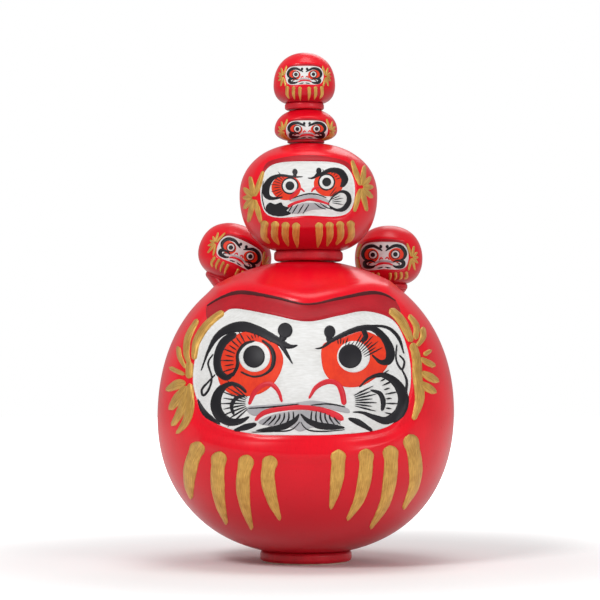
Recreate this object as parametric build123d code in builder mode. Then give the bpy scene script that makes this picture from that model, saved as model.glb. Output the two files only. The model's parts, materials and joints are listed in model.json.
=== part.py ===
from build123d import *
from dataclasses import dataclass
from math import cos, radians, sin
import os

# A stack of six hollow papier-mache daruma dolls in millimetres.  +Z is up, every face looks
# towards -Y, and the origin is the centre of the biggest doll's resting face.  Each doll is a
# moulded shell in two halves, joined by a paper strip and closed below by a clay weight.

# ---- driving dimensions -------------------------------------------------------------------
LARGE_RADIUS = 87.6
LARGE_HEIGHT = 178.0
LARGE_WALL = 3.6
MEDIUM_WALL = 2.4
SMALL_WALL = 1.5

NECK_SHARE = 0.96            # radius of the body where it meets the foot, over the foot's radius
PLUG_SHARE = 0.72            # radius of the weight's plug, over the foot's radius
CROWN_FULLNESS = 0.61        # reach of the crown curve's handles, where 0.55 is an ellipse
BELLY_FULLNESS = 0.56        # reach of the belly curve's upper handle
HEM_OUT = 0.58               # reach of the belly curve's lower handle, outwards
HEM_UP = 0.10                # and upwards

FIT_CLEARANCE = 0.05         # radial running clearance between a peg and its bores
SHELL_CLEARANCE = 0.4        # radial clearance where a peg passes through the paper shell
SEAT_GAP = 0.3               # air between a crown and the saddle that stands on it
SOCKET_SPARE = 0.6           # depth left under a peg's end
PAPER_DISC = 0.6             # thickness of the paper under the biggest weight
STRIP_SHARE = 0.35           # thickness of the seam strip, over the shell's wall
STRIP_WIDTH_SHARE = 0.16     # width of the seam strip, over the doll's radius

SIDE_LEAN = 43.5             # slope of the big crown under the shoulder dolls, in degrees
LEFT_LEAN = 25.0             # the left shoulder doll leans this far towards the middle
LEFT_TURN = 16.0
RIGHT_TURN = -12.0


@dataclass(frozen=True)
class Doll:
    """Sizes of one doll, in its own frame: z = 0 under the foot, face towards -Y."""

    name: str
    place: Plane
    radius: float
    widest: float
    height: float
    foot_radius: float
    foot_height: float
    plug_top: float
    wall: float
    face: tuple[float, float, float, float]   # centre x, centre z, half width, half height
    brow: float                               # height of the face's middle, over the half height
    block_bottom: float = 0.0                 # the crown block fills the crown above this height
    cup_depth: float = 0.0                    # hollow under the foot that clears the crown below

    @property
    def section(self) -> Plane:
        """Upright plane through the doll's axis, facing the way the doll looks."""
        return Plane(self.place.origin, x_dir=self.place.x_dir, z_dir=-self.place.y_dir)

    @property
    def axis(self) -> Axis:
        """The doll's own upright axis."""
        return Axis(self.place.origin, self.place.z_dir)


@dataclass(frozen=True)
class Peg:
    """A wooden dowel; its plane lies where it leaves the lower crown, +Z along the dowel."""

    name: str
    place: Plane
    radius: float
    below: float
    above: float


def leaning(origin: tuple[float, float, float], lean: float, turn: float) -> Plane:
    """Plane of a doll that leans towards +X and then turns about its own axis."""
    upright = Vector(sin(radians(lean)), 0, cos(radians(lean)))
    rightward = Vector(cos(radians(lean)), 0, -sin(radians(lean)))
    return Plane(origin, x_dir=rightward, z_dir=upright).rotated((0, 0, turn))


def crown_normal(foot: Vector) -> Vector:
    """Direction in which the big crown faces, below a foot that stands on its shoulder."""
    outward = Vector(foot.X, foot.Y, 0).normalized()
    return outward * sin(radians(SIDE_LEAN)) + Vector(0, 0, cos(radians(SIDE_LEAN)))


def shoulder_peg(name: str, doll: Doll, drop: float, above: float) -> Peg:
    """Dowel that holds a shoulder doll, square to the crown below its foot."""
    foot = doll.place.origin
    normal = crown_normal(foot)
    return Peg(name, Plane(foot - normal * drop, z_dir=normal), 2.0, 11.0, above)


large = Doll("large", Plane.XY, LARGE_RADIUS, 86.7, LARGE_HEIGHT, 27.0, 7.0, 30.0, LARGE_WALL,
             (-2.0, 112.3, 61.5, 35.0), 0.82, block_bottom=143.0)
medium = Doll("medium", Plane((1.5, 0, 177.3)), 40.8, 39.3, 70.3, 20.4, 6.3, 21.0, MEDIUM_WALL,
              (-0.5, 40.0, 27.3, 16.0), 1.04, block_bottom=55.0, cup_depth=2.2)
third = Doll("third", Plane((0.0, 0, 247.5)), 18.6, 7.6, 20.5, 11.0, 1.5, 7.4, SMALL_WALL,
             (0.4, 7.2, 12.1, 5.2), 1.02, block_bottom=12.2, cup_depth=1.2)
top = Doll("top", Plane((-0.9, 0, 267.1)), 18.3, 14.2, 34.0, 11.6, 4.0, 13.0,
           SMALL_WALL, (0.3, 18.8, 11.2, 5.6), 1.02, cup_depth=1.9)
left = Doll("left", leaning((-51.0, 42.0, 165.8), LEFT_LEAN, LEFT_TURN), 20.6, 18.0, 37.5, 11.5,
            3.6, 12.0, SMALL_WALL, (-1.0, 22.0, 14.5, 7.4), 1.0)
right = Doll("right", leaning((50.6, 43.5, 161.8), 0, RIGHT_TURN), 20.6, 19.0, 39.0, 11.5,
             3.6, 12.0, SMALL_WALL, (-0.6, 19.8, 15.2, 8.6), 1.02)

medium_peg = Peg("medium_peg", Plane((1.5, 0, LARGE_HEIGHT)), 4.0, 15.0, 13.0)
third_peg = Peg("third_peg", Plane((0.0, 0, 247.6)), 2.5, 9.0, 5.0)
top_peg = Peg("top_peg", Plane((-0.9, 0, 268.0)), 2.0, 5.0, 7.5)
left_peg = shoulder_peg("left_peg", left, 8.7, 5.0)
right_peg = shoulder_peg("right_peg", right, 6.5, 4.0)


def body_outline(doll: Doll, inset: float) -> Sketch:
    """Whole upright section of a doll's body, made smaller all round by an inset."""
    widest = doll.radius - inset
    bottom = doll.foot_height + inset
    below = doll.widest - bottom
    above = doll.height - inset - doll.widest
    neck = doll.foot_radius * NECK_SHARE
    crown = doll.height - inset
    with BuildSketch() as outline:
        with BuildLine():
            belly = Bezier((neck, bottom), (neck + HEM_OUT * (widest - neck), bottom + HEM_UP * below),
                           (widest, doll.widest - BELLY_FULLNESS * below), (widest, doll.widest))
            dome = Bezier((widest, doll.widest), (widest, doll.widest + CROWN_FULLNESS * above),
                          (CROWN_FULLNESS * widest, crown), (0, crown))
            mirror([belly, dome], about=Plane.YZ)
            Line((-neck, bottom), (neck, bottom))
        make_face()
    return outline.sketch


def face_outline(doll: Doll, spread: float, lift: float) -> Sketch:
    """Mask-shaped outline of the face, which may dip between the brows."""
    x, z, half_width, half_height = doll.face
    a, b = half_width * spread, half_height * spread
    with BuildSketch() as outline:
        with BuildLine():
            Spline((x - a, z + 0.1 * b), (x - 0.70 * a, z + b + lift),
                   (x, z + doll.brow * b + lift),
                   (x + 0.70 * a, z + b + lift), (x + a, z + 0.1 * b), (x + 0.72 * a, z - 0.92 * b),
                   (x, z - b), (x - 0.72 * a, z - 0.92 * b), periodic=True)
        make_face()
    return outline.sketch


def skin(doll: Doll, outer: float, inner: float) -> Part:
    """Layer of a doll's body between two insets, as a full turn."""
    with BuildPart() as layer:
        with BuildSketch(doll.section):
            add(body_outline(doll, outer))
            add(body_outline(doll, inner), mode=Mode.SUBTRACT)
            split(bisect_by=Plane.YZ)
        revolve(axis=doll.axis)
    return layer.part


def face_hollow(doll: Doll, spread: float, lift: float, depth: float) -> Part:
    """The stretch of skin that a hollow around the face takes away."""
    with BuildPart() as hollow:
        add(skin(doll, -2 * depth, depth))
        with BuildSketch(doll.section):
            add(face_outline(doll, spread, lift))
        extrude(amount=1.5 * doll.radius, mode=Mode.INTERSECT)
    return hollow.part


def save(part: Part, name: str) -> None:
    """Label one finished piece and write it."""
    part.label = name
    export_step(part, f"parts/{name}.step")


def make_shell(doll: Doll, pegs: list[Peg]) -> None:
    """Two halves of the moulded shell, split through the axis, the front one with the face."""
    with BuildPart() as whole:
        add(skin(doll, 0, doll.wall))
        with Locations(doll.place.offset(doll.foot_height + 2 * doll.wall)):
            Hole(doll.foot_radius * PLUG_SHARE, depth=3 * doll.wall)
        for peg in pegs:
            with Locations(peg.place.offset(doll.wall)):
                Hole(peg.radius + SHELL_CLEARANCE, depth=3 * doll.wall)
    with BuildPart() as front:
        add(whole.part)
        split(bisect_by=doll.section, keep=Keep.TOP)
        add(face_hollow(doll, 1.12, 0.12 * doll.face[3], 0.3 * doll.wall), mode=Mode.SUBTRACT)
        add(face_hollow(doll, 1.0, 0.0, 0.6 * doll.wall), mode=Mode.SUBTRACT)
    save(front.part, f"{doll.name}_shell_front")
    with BuildPart() as back:
        add(whole.part)
        split(bisect_by=doll.section, keep=Keep.BOTTOM)
    save(back.part, f"{doll.name}_shell_back")


def make_seam_strip(doll: Doll) -> None:
    """Paper strip glued inside along the seam, from above the weight up to the crown block."""
    low = doll.plug_top + doll.wall / 2
    high = doll.block_bottom - 0.5 * doll.wall if doll.block_bottom else doll.height
    with BuildPart() as strip:
        add(skin(doll, doll.wall, doll.wall * (1 + STRIP_SHARE)))
        with BuildSketch(doll.section):
            with Locations((0, (low + high) / 2)):
                Rectangle(2 * doll.radius, high - low)
        extrude(amount=doll.radius * STRIP_WIDTH_SHARE / 2, both=True, mode=Mode.INTERSECT)
    save(strip.part, f"{doll.name}_seam_strip")


def make_weight(doll: Doll, peg: Peg | None) -> None:
    """Clay foot with a plug that closes the shell, bored from below for the doll's peg."""
    bottom = 0.0 if peg or doll.name != "large" else PAPER_DISC
    plug_radius = doll.foot_radius * PLUG_SHARE
    round_edge = 0.35 * (doll.foot_height - bottom)
    with BuildPart() as weight:
        with BuildSketch(doll.place.offset(bottom)):
            Circle(doll.foot_radius)
        extrude(amount=doll.foot_height - bottom)
        fillet(weight.edges(), radius=round_edge)
        with BuildSketch(doll.place.offset(doll.foot_height)):
            Circle(plug_radius)
        extrude(amount=doll.plug_top - doll.foot_height)
        fillet(weight.edges().sort_by(doll.axis)[-1], radius=0.25 * plug_radius)
        if doll.cup_depth:
            rim = 0.85 * doll.foot_radius
            cup_radius = (rim ** 2 + doll.cup_depth ** 2) / (2 * doll.cup_depth)
            with Locations(doll.place.offset(doll.cup_depth - cup_radius)):
                Sphere(cup_radius, mode=Mode.SUBTRACT)
        if peg:
            with Locations(peg.place.offset(peg.above + SOCKET_SPARE)):
                Hole(peg.radius + FIT_CLEARANCE, depth=2 * (peg.above + SOCKET_SPARE))
    save(weight.part, f"{doll.name}_weight")


def make_paper_disc(doll: Doll) -> None:
    """Paper glued under the clay, which is the face that the whole stack rests on."""
    with BuildPart() as disc:
        with BuildSketch(doll.place):
            Circle(0.9 * doll.foot_radius)
        extrude(amount=PAPER_DISC)
    save(disc.part, f"{doll.name}_base_paper")


def make_crown_block(doll: Doll, pegs: list[Peg]) -> None:
    """Turned wooden block glued inside a crown, with a blind socket for each peg."""
    with BuildPart() as block:
        with BuildSketch(doll.section):
            add(body_outline(doll, doll.wall))
            split(bisect_by=Plane.YZ)
            split(bisect_by=Plane.XZ.offset(-doll.block_bottom), keep=Keep.BOTTOM)
        revolve(axis=doll.axis)
        for peg in pegs:
            with Locations(peg.place.offset(doll.wall)):
                Hole(peg.radius + FIT_CLEARANCE, depth=doll.wall + peg.below + SOCKET_SPARE)
    save(block.part, f"{doll.name}_crown_block")


def make_peg(peg: Peg) -> None:
    """Dowel with both ends chamfered."""
    with BuildPart() as dowel:
        with BuildSketch(peg.place.offset(-peg.below)):
            Circle(peg.radius)
        extrude(amount=peg.below + peg.above)
        chamfer(dowel.edges().filter_by(GeomType.CIRCLE), length=0.2 * peg.radius)
    save(dowel.part, peg.name)


def make_saddle(doll: Doll, peg: Peg) -> None:
    """Wedge under a shoulder doll that follows the slope of the big crown and holds the peg."""
    with BuildPart() as saddle:
        with BuildSketch(doll.place):
            Circle(0.95 * doll.foot_radius)
        extrude(amount=3 * doll.foot_height + 6, dir=-peg.place.z_dir)
        with BuildSketch(large.section):
            add(body_outline(large, -SEAT_GAP))
            split(bisect_by=Plane.YZ)
        revolve(axis=large.axis, mode=Mode.SUBTRACT)
        with Locations(peg.place.offset(peg.above)):
            Hole(peg.radius, depth=peg.above + peg.below)
    save(saddle.part, f"{doll.name}_saddle")


os.makedirs("parts", exist_ok=True)

# Each doll, with the pegs that its crown carries and the peg that it turns on.
for doll, carried, own_peg in (
    (large, [medium_peg, left_peg, right_peg], None),
    (medium, [third_peg], medium_peg),
    (third, [top_peg], third_peg),
    (top, [], top_peg),
    (left, [], None),
    (right, [], None),
):
    make_shell(doll, carried)
    make_seam_strip(doll)
    make_weight(doll, own_peg)
    if carried:
        make_crown_block(doll, carried)

make_paper_disc(large)
for peg in (medium_peg, third_peg, top_peg, left_peg, right_peg):
    make_peg(peg)
make_saddle(left, left_peg)
make_saddle(right, right_peg)
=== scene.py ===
"""A stack of six papier-mache daruma dolls: shells, faces and gilding built over the CAD frame.

Every doll is made upright in its own frame, looking towards -Y with its foot at the origin, then
moved to the place that its CAD nodes give.  Painted features are low ridges of paint laid on the
shell by two Geometry Nodes trees, one for brush strokes and one for filled patches.
"""
import json
import logging
import math
from dataclasses import dataclass, field, replace
from enum import Enum

import bmesh
import bpy
import numpy as np
from mathutils import Matrix, Vector
from mathutils.geometry import delaunay_2d_cdt

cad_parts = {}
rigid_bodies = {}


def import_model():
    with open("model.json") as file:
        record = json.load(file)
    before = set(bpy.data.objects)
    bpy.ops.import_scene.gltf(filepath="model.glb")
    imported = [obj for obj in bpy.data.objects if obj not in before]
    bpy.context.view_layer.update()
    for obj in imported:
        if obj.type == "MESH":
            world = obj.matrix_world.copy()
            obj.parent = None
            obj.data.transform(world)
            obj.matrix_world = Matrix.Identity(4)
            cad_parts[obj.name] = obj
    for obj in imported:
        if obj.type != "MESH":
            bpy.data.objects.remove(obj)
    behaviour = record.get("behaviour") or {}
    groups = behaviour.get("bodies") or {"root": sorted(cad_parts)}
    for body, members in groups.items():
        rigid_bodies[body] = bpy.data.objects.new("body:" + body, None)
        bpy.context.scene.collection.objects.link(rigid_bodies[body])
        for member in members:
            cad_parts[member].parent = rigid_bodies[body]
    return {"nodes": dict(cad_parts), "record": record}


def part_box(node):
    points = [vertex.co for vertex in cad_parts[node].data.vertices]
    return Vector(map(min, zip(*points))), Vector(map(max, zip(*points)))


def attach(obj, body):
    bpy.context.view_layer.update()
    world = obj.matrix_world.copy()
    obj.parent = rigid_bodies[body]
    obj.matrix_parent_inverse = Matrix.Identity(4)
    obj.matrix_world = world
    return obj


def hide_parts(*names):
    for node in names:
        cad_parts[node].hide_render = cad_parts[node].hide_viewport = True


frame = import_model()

MM = 0.001
LOG = logging.getLogger("daruma")

# The same proportions as the CAD bodies, so that every shell lies on its own solid.
NECK_SHARE = 0.96         # radius of the shell's mouth over the foot's radius
PLUG_SHARE = 0.72         # radius of the weight's plug over the foot's radius
CROWN_FULLNESS = 0.61     # length of the crown curve's handles: near 0.55 is round, 1 is square
BELLY_FULLNESS = 0.56     # the same below the widest ring
HEM_OUT = 0.58            # how far out of the mouth the belly curve's first handle reaches
HEM_UP = 0.10             # and how far up
PEG_CLEARANCE = 0.4 * MM  # between a peg and the edge of its hole
SAME_POINT = 1e-6         # points nearer than this count as one, in metres
REFERENCE_FACE = 62.0     # half width of the biggest face in mm, which the small ones scale from

# The camera's place.  All drawings are thrown on the shells from here.
EYE = Vector((-0.0035, -1.4, 0.125))

Point = tuple[float, float]
Stroke = tuple[tuple[float, float, float], ...]   # x, height and half width of each point, in mm


# ---- small helpers ------------------------------------------------------------------------
def linear(colour: str) -> tuple[float, float, float, float]:
    """Turn an sRGB hex colour into linear RGBA.

    Args:
        colour: six hex digits, with a leading #.

    Returns:
        The colour as Blender's sockets expect it.
    """
    parts = [int(colour[i:i + 2], 16) / 255 for i in (1, 3, 5)]
    return (*(c / 12.92 if c <= 0.04045 else ((c + 0.055) / 1.055) ** 2.4 for c in parts), 1.0)


def add_node(tree: bpy.types.NodeTree, kind: str, inputs: dict | None = None,
             **settings: object) -> bpy.types.Node:
    """Add one node, with its settings, its constant inputs and its links.

    Args:
        tree: the shader or geometry tree.
        kind: Blender's name of the node type.
        inputs: socket name or index, to a constant or to the output that feeds it.
        settings: properties of the node.

    Returns:
        The new node.
    """
    node = tree.nodes.new(kind)
    for name, value in settings.items():
        setattr(node, name, value)
    for key, value in (inputs or {}).items():
        if isinstance(value, bpy.types.NodeSocket):
            tree.links.new(value, node.inputs[key])
        else:
            node.inputs[key].default_value = value
    return node


def add_object(name: str, data: bpy.types.ID) -> bpy.types.Object:
    """Make an object and put it in the scene.

    Args:
        name: the object's name.
        data: the mesh, lamp or camera that it shows.

    Returns:
        The new object.
    """
    made = bpy.data.objects.new(name, data)
    bpy.context.scene.collection.objects.link(made)
    return made


def plain_mesh(source: bpy.types.Object) -> bpy.types.Mesh:
    """Give the mesh that an object's modifiers make of it."""
    bpy.context.view_layer.update()
    graph = bpy.context.evaluated_depsgraph_get()
    return bpy.data.meshes.new_from_object(source.evaluated_get(graph))


def smooth(value: np.ndarray) -> np.ndarray:
    """Ease from 0 to 1 as the value goes from 0 to 1."""
    t = np.clip(value, 0.0, 1.0)
    return t * t * (3 - 2 * t)


def rounded(points: tuple[Point, ...], closed: bool, steps: int = 8) -> np.ndarray:
    """Run a Catmull-Rom curve through given points.

    Args:
        points: the points to pass through.
        closed: whether the curve comes back to its first point.
        steps: how many pieces each span is cut into.

    Returns:
        The curve's points, one row each.
    """
    p = np.array(points, dtype=float)
    before, after = (p[-1:], p[:2]) if closed else (2 * p[:1] - p[1:2], 2 * p[-1:] - p[-2:-1])
    q = np.vstack([before, p, after])
    t = np.linspace(0, 1, steps, endpoint=False)[:, None]
    spans = []
    for a, b, c, d in zip(q[:-3], q[1:-2], q[2:-1], q[3:]):
        spans.append(0.5 * (2 * b + (c - a) * t + (2 * a - 5 * b + 4 * c - d) * t ** 2
                            + (3 * b - a - 3 * c + d) * t ** 3))
    if not closed:
        spans.append(p[-1:])
    return np.vstack(spans)


def distance_to(line: np.ndarray, x: np.ndarray, z: np.ndarray, closed: bool) -> np.ndarray:
    """Distance from many points to a polyline, signed when the line is closed.

    Args:
        line: the polyline's points.
        x: the points' positions across.
        z: the points' heights.
        closed: whether the last point joins the first, and inside counts as positive.

    Returns:
        One distance for each point.
    """
    a = line if closed else line[:-1]
    b = np.roll(line, -1, axis=0) if closed else line[1:]
    nearest = np.full(x.shape, np.inf)
    inside = np.zeros(x.shape, dtype=bool)
    for (ax, az), (bx, bz) in zip(a, b):
        dx, dz = bx - ax, bz - az
        t = np.clip(((x - ax) * dx + (z - az) * dz) / max(dx * dx + dz * dz, 1e-12), 0, 1)
        nearest = np.minimum(nearest, np.hypot(x - ax - t * dx, z - az - t * dz))
        if closed and az != bz:
            crosses = (az > z) != (bz > z)
            inside ^= crosses & (x < ax + (z - az) * dx / dz)
    return np.where(inside, nearest, -nearest) if closed else nearest


def evenly(line: np.ndarray, count: int, closed: bool = False) -> np.ndarray:
    """Place points at even steps along a polyline.

    Args:
        line: the polyline's points.
        count: how many points to place.
        closed: whether the last point joins the first.

    Returns:
        The points, one row each.
    """
    run = np.vstack([line, line[:1]]) if closed else line
    steps = np.concatenate([[0], np.cumsum(np.hypot(*np.diff(run, axis=0).T))])
    even = np.linspace(0, steps[-1], count, endpoint=not closed)
    return np.column_stack([np.interp(even, steps, run[:, k]) for k in (0, 1)])


def divided(outline: Stroke, spacing: float) -> tuple[list[Vector], list[list[int]]]:
    """Divide the inside of a closed outline into even triangles.

    Args:
        outline: given points round the edge.
        spacing: size of the triangles.

    Returns:
        The points, and the triangles as point numbers.
    """
    row_share, clear_share = 0.866, 0.55   # height of a row, and gap to the edge, over the spacing
    span_steps, fewest = 24, 12            # pieces of each span, and points round a tiny patch
    curve = rounded(tuple(point[:2] for point in outline), True, span_steps)
    length = np.hypot(*np.diff(curve, axis=0, append=curve[:1]).T).sum()
    count = max(fewest, int(length / spacing))
    ring = evenly(curve, count, closed=True)
    low, high = ring.min(axis=0), ring.max(axis=0)
    rows = np.arange(low[1], high[1], spacing * row_share)
    grid = np.array([(x + (j % 2) * spacing / 2, z) for j, z in enumerate(rows)
                     for x in np.arange(low[0], high[0], spacing)])
    deep = distance_to(ring, grid[:, 0], grid[:, 1], True) > clear_share * spacing
    spots = [Vector(map(float, spot)) for spot in np.vstack([ring, grid[deep]])]
    edges = [(i, (i + 1) % count) for i in range(count)]
    found = delaunay_2d_cdt(spots, edges, [], 1, 1e-6)
    return found[0], found[2]


# ---- finishes -----------------------------------------------------------------------------
class Pattern(Enum):
    """What a finish's fine pattern follows."""

    SURFACE = "the piece's own space"
    STROKE = "the brush stroke that laid the paint"


@dataclass(frozen=True)
class Finish:
    """One material: what it is, how it was put on, and what that gives the eye."""

    name: str
    light: str
    dark: str
    pattern: Pattern = Pattern.SURFACE
    cloud_mm: float = 14.0
    grain_mm: tuple[float, float, float] = (1.2, 1.2, 1.2)
    grain_share: float = 0.35
    relief_mm: float = 0.02
    roughness: float = 0.5
    spread: float = 0.06
    metallic: float = 0.0
    ior: float = 1.5
    coat: float = 0.0
    painted_shade: str = ""        # painted shade: the darker colour that the finish fades to at its foot
    painted_shade_from: float = 0.0
    painted_shade_to: float = 0.0

    NOISE_RANGE = (0.36, 0.64)   # the middle of a noise, where nearly all of it lies
    RELIEF_STRENGTH = 0.8
    COAT_ROUGHNESS = 0.12

    def build(self) -> bpy.types.Material:
        """Build the material's nodes.

        Returns:
            The finished material.
        """
        material = bpy.data.materials.new(self.name)
        material.use_nodes = True
        material.diffuse_color = linear(self.light)
        tree = material.node_tree
        tree.nodes.clear()
        space = add_node(tree, "ShaderNodeTexCoord").outputs["Object"]
        way = space
        if self.pattern is Pattern.STROKE:
            way = add_node(tree, "ShaderNodeAttribute", attribute_name="bristle").outputs["Vector"]
        scaled = add_node(tree, "ShaderNodeMapping",
                          {"Vector": way, "Scale": tuple(1 / (g * MM) for g in self.grain_mm)})
        grain = add_node(tree, "ShaderNodeTexNoise",
                         {"Vector": scaled.outputs[0], "Scale": 1.0, "Detail": 4.0})
        clouds = add_node(tree, "ShaderNodeTexNoise",
                          {"Vector": space, "Scale": 1 / (self.cloud_mm * MM), "Detail": 3.0})
        both = add_node(tree, "ShaderNodeMix", {0: self.grain_share, 2: clouds.outputs[0],
                                                3: grain.outputs[0]})
        spread = add_node(tree, "ShaderNodeMapRange",
                          {"Value": both.outputs[0], "From Min": self.NOISE_RANGE[0],
                           "From Max": self.NOISE_RANGE[1]})
        colour = add_node(tree, "ShaderNodeMix", {0: spread.outputs[0], 6: linear(self.dark),
                                                  7: linear(self.light)}, data_type="RGBA")
        # Painted shade: the colour fades to the darker one towards the foot, where the lower body
        # falls into shade.
        if self.painted_shade:
            height = add_node(tree, "ShaderNodeSeparateXYZ", {0: space})
            fade = add_node(tree, "ShaderNodeMapRange",
                            {"Value": height.outputs[2], "From Min": self.painted_shade_from,
                             "From Max": self.painted_shade_to}, interpolation_type="SMOOTHSTEP")
            colour = add_node(tree, "ShaderNodeMix", {0: fade.outputs[0], 6: linear(self.painted_shade),
                                                      7: colour.outputs[2]}, data_type="RGBA")
        gloss = add_node(tree, "ShaderNodeMapRange",
                         {"Value": grain.outputs[0], "To Min": self.roughness - self.spread,
                          "To Max": self.roughness + self.spread})
        bump = add_node(tree, "ShaderNodeBump", {
            "Height": grain.outputs[0], "Strength": self.RELIEF_STRENGTH,
            "Distance": self.relief_mm * MM})
        shader = add_node(tree, "ShaderNodeBsdfPrincipled",
                          {"Base Color": colour.outputs[2], "Roughness": gloss.outputs[0],
                           "Normal": bump.outputs[0], "Metallic": self.metallic, "IOR": self.ior,
                           "Coat Weight": self.coat, "Coat Roughness": self.COAT_ROUGHNESS})
        add_node(tree, "ShaderNodeOutputMaterial", {"Surface": shader.outputs[0]})
        return material


# Cashew lacquer brushed over primed paper: a wet gloss over slightly cloudy red, with painted
# shade that darkens it towards the foot.
RED_LACQUER = Finish("brushed_red_lacquer", "#EF0722", "#DE051E", cloud_mm=26.0,
                     grain_mm=(0.9, 0.9, 4.0), grain_share=0.3, relief_mm=0.03, roughness=0.3,
                     ior=1.3, coat=0.12, painted_shade="#B40E1F")
# Painted shade: the same red made darker and less glossy, laid in the hollow under the brow where
# the hood's shadow falls.
PAINTED_SHADE_LACQUER = Finish("brushed_dark_red_lacquer", "#B80D20", "#A00A1A", cloud_mm=16.0,
                      grain_mm=(3.0, 0.8, 0.8), relief_mm=0.03, roughness=0.45, ior=1.36)
# Burnt umber line drawn into the brow fold, partly a painted line and partly painted shade where
# the fold darkens under the hood: nearly matte, brown with a red cast.
UMBER_FOLD_SHADE_LINE = Finish("umber_line_paint", "#541318", "#3A0C10", pattern=Pattern.STROKE,
                    grain_mm=(0.35, 9.0, 1.0), roughness=0.5, ior=1.36)
# Gofun, ground shell white: chalky, faintly warm, with broad soft brush marks.
SHELL_WHITE = Finish("gofun_shell_white", "#E6E6E5", "#D2D1CE", cloud_mm=20.0,
                     grain_mm=(4.5, 1.0, 1.0), grain_share=0.5, relief_mm=0.03, roughness=0.62)
# Brass powder in a clear binder: streaked gold that sparkles along the bristle marks.
BRASS_PAINT = Finish("brass_powder_paint", "#E2B45C", "#AC7C34", pattern=Pattern.STROKE,
                     cloud_mm=5.0, grain_mm=(0.42, 7.0, 1.0), grain_share=0.65, relief_mm=0.09,
                     roughness=0.46, spread=0.12, metallic=0.45)
# Sumi ink with glue: blue-black, low sheen, thinner at the bristle marks.
SUMI_INK = Finish("sumi_ink", "#1D1B21", "#0E0C12", pattern=Pattern.STROKE,
                  grain_mm=(0.35, 8.0, 1.0), relief_mm=0.03, roughness=0.45, ior=1.36)
# Vermilion and orange pigment around the eyes: opaque, satin.
ORANGE_PIGMENT = Finish("orange_pigment", "#E8390F", "#D82A0C", cloud_mm=7.0,
                        grain_mm=(0.8, 2.4, 2.4), relief_mm=0.025, roughness=0.55, ior=1.4)
# Clear red pigment of nose and mouth: satin, even.
RED_PIGMENT = Finish("scarlet_pigment", "#DE0C26", "#C40A20", pattern=Pattern.STROKE,
                     grain_mm=(0.4, 8.0, 1.0), relief_mm=0.03, roughness=0.45)
# White with a little ink: a flat grey lip.
GREY_PIGMENT = Finish("ash_grey_pigment", "#B4B2B4", "#96949A", pattern=Pattern.STROKE,
                      grain_mm=(0.4, 8.0, 1.0), roughness=0.55)
# Low-fired clay dipped in the same red: darker, dull, slightly gritty.
RED_CLAY = Finish("red_dipped_clay", "#D81A2C", "#B01422", cloud_mm=9.0,
                  grain_mm=(0.7, 0.7, 0.7), relief_mm=0.06, roughness=0.42, ior=1.36, coat=0.1)
# Turned beech: pale, with fine lengthwise grain.
BEECH = Finish("turned_beech", "#D9B98A", "#B98F5C", cloud_mm=12.0, grain_mm=(0.5, 0.5, 6.0),
               grain_share=0.6, relief_mm=0.03, roughness=0.55)
# Unprinted mulberry paper: cream, fibrous, matte.
MULBERRY_PAPER = Finish("mulberry_paper", "#E9E0CB", "#D3C6A8", cloud_mm=8.0,
                        grain_mm=(0.4, 2.5, 0.4), relief_mm=0.04, roughness=0.85)


# ---- the paint-laying trees ---------------------------------------------------------------
class PaintTool(Enum):
    """How a colour is laid on the shell."""

    BRUSH = "brush_stroke_tree"
    FILL = "filled_patch_tree"


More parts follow.
